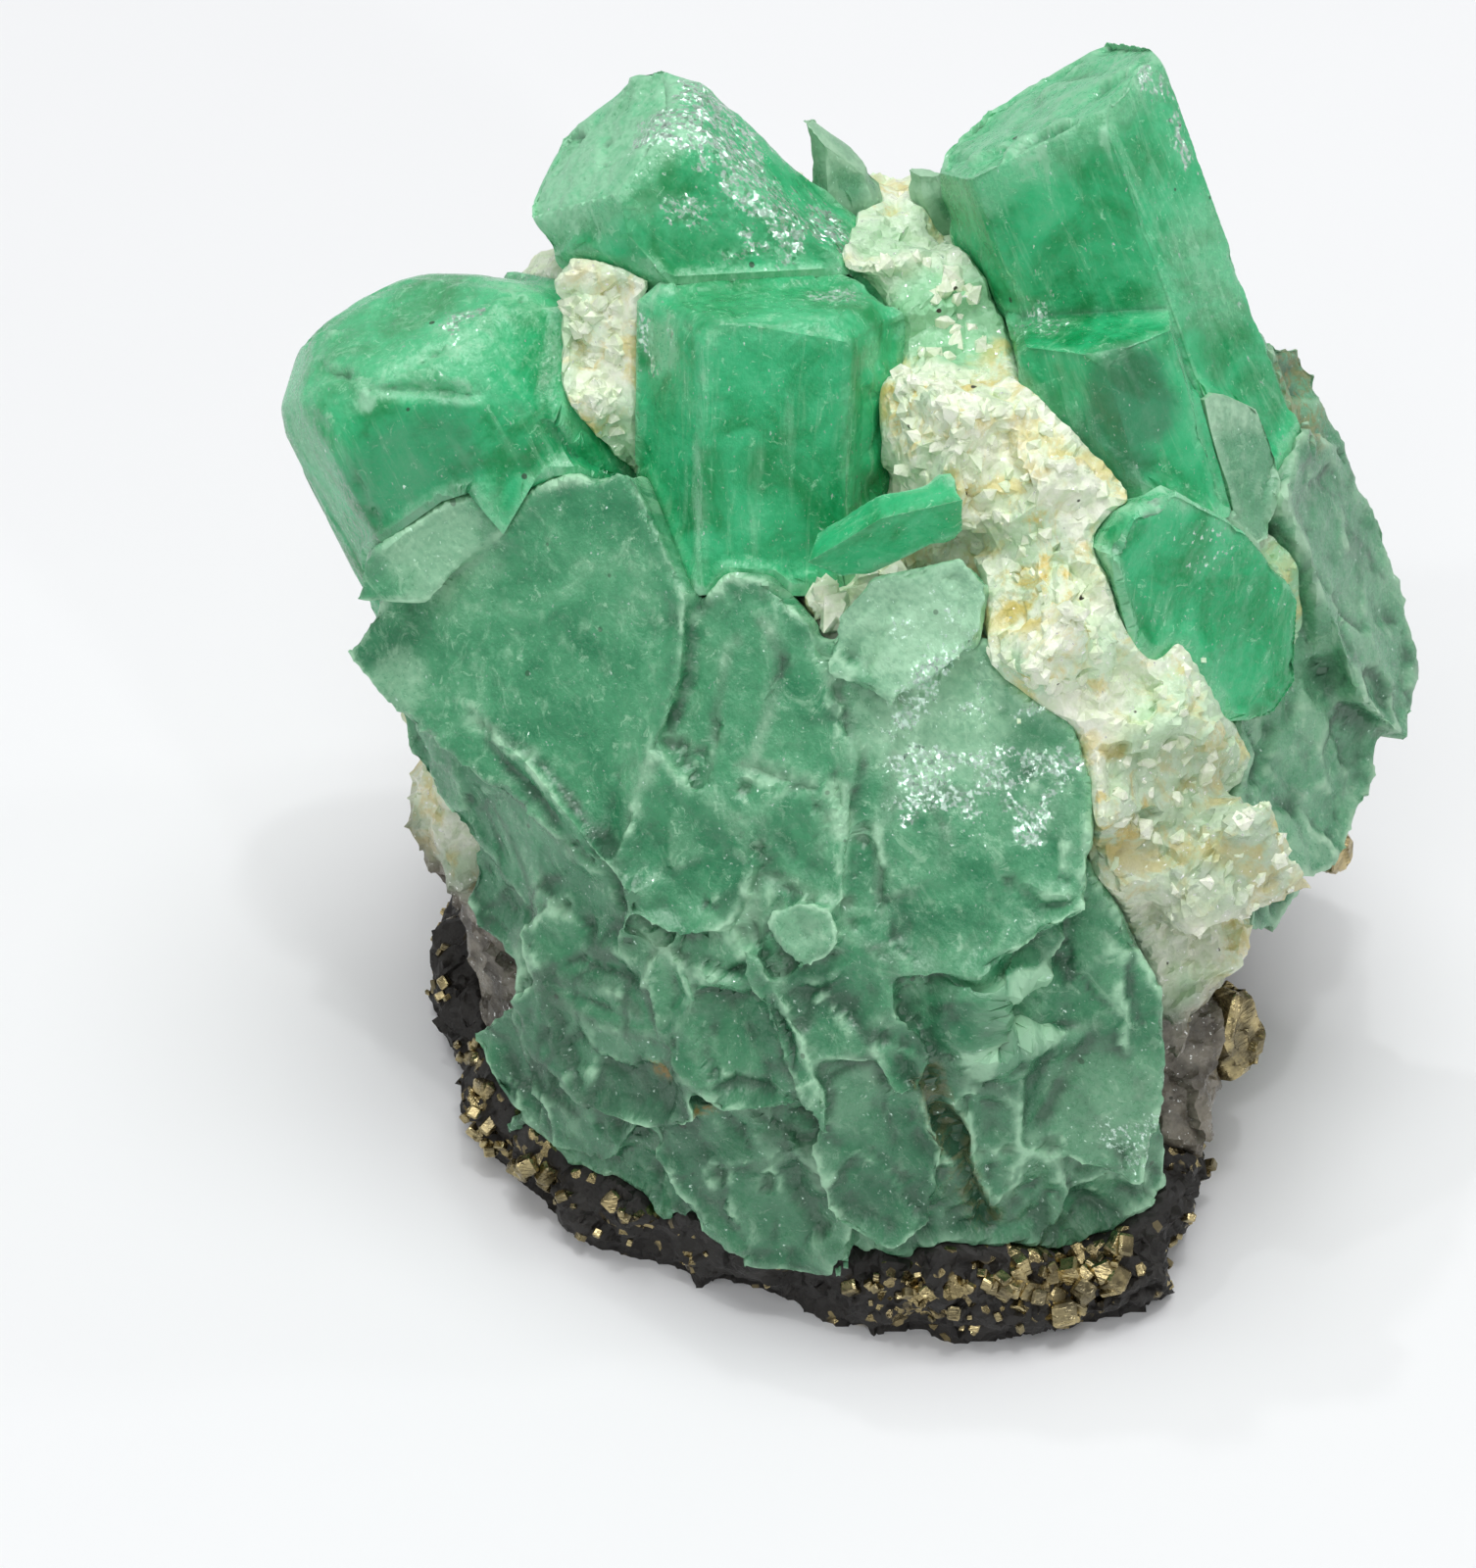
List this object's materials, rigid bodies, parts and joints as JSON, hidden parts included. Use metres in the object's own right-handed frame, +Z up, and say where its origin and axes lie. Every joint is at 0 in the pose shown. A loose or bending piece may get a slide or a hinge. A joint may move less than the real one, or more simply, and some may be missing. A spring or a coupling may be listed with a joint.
{
  "type": "emerald in matrix specimen",
  "caption": "Hand-sized mineral specimen: green emerald crystals fanned out of white calcite, on a crust of black shale and pyrite.",
  "frame": {"origin": "on the flat resting face, under the middle of the specimen", "axes": "+Z up; the side with the best crystals looks towards -Y; +X is to the right of that side"},
  "size_m": [0.0549, 0.0444, 0.0504],
  "materials": {
    "calcite": "sugary, dull",
    "shale": "rough, with brassy grains",
    "front_emerald": "satin, flaky",
    "pale_emerald": "satin, flaky",
    "emerald": "glassy, partly clear",
    "pyrite": "metallic"
  },
  "bodies": {
    "root": {"matrix": "calcite", "shale_crust": "shale", "front_crystals": "front_emerald", "right_flank": "pale_emerald", "centre_crystal": "emerald", "back_left_crystal": "emerald", "back_right_crystal": "emerald", "left_crystal": "emerald", "right_crystal": "emerald", "grey_crystal": "pale_emerald", "edge_plate": "emerald", "back_spike": "pale_emerald", "small_spike": "pale_emerald", "right_pyrite": "pyrite", "flank_pyrite": "pyrite"}
  },
  "joints": []
}
